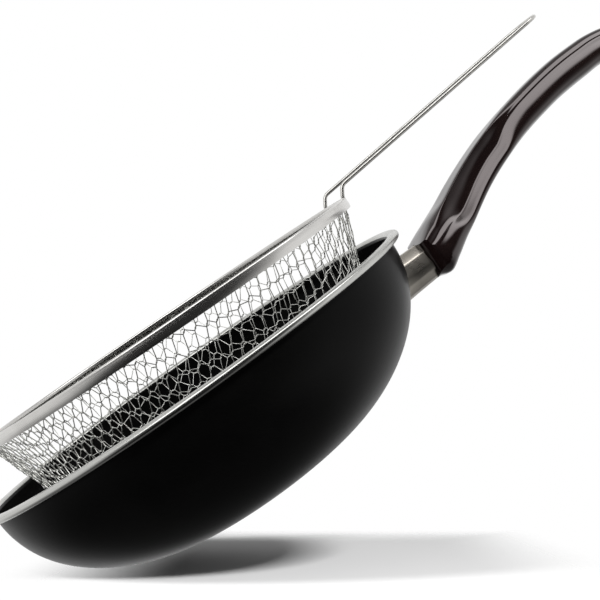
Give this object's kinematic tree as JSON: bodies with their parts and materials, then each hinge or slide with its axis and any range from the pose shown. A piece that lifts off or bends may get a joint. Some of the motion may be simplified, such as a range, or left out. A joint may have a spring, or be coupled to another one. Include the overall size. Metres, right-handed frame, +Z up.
{
  "type": "frying pan with frying basket",
  "caption": "Deep round frying pan with a bright rolled rim, a curved moulded handle and a lift-out wire frying basket on a long wire handle.",
  "frame": {"origin": "centre of the underside of the pan's flat base", "axes": "+Z up along the pan's axis, +X along the handle, away from the pan"},
  "size_m": [0.5236, 0.28, 0.1312],
  "materials": {
    "black_enamel": "semi-gloss black enamel",
    "bright_rim": "polished steel",
    "bracket_steel": "plain pressed steel",
    "ferrule_steel": "polished steel",
    "brown_moulding": "glossy dark brown thermoset moulding",
    "screw_steel": "zinc-plated steel",
    "band_steel": "satin tinned steel",
    "net_steel": "bright tinned netting",
    "wire_steel": "bright drawn wire"
  },
  "bodies": {
    "pan": {"pan_body": "black_enamel", "rim_ring": "bright_rim", "handle_bracket": "bracket_steel", "ferrule": "ferrule_steel", "handle_grip": "brown_moulding", "fixing_screw": "screw_steel"},
    "basket": {"basket_rim_band": "band_steel", "basket_rim_wire": "wire_steel", "basket_net": "net_steel", "basket_handle": "wire_steel"}
  },
  "joints": [
    {"name": "basket_lift", "type": "slide", "parent": "pan", "child": "basket", "axis": [0, 0, 1], "range_m": [0, 0.12]}
  ]
}
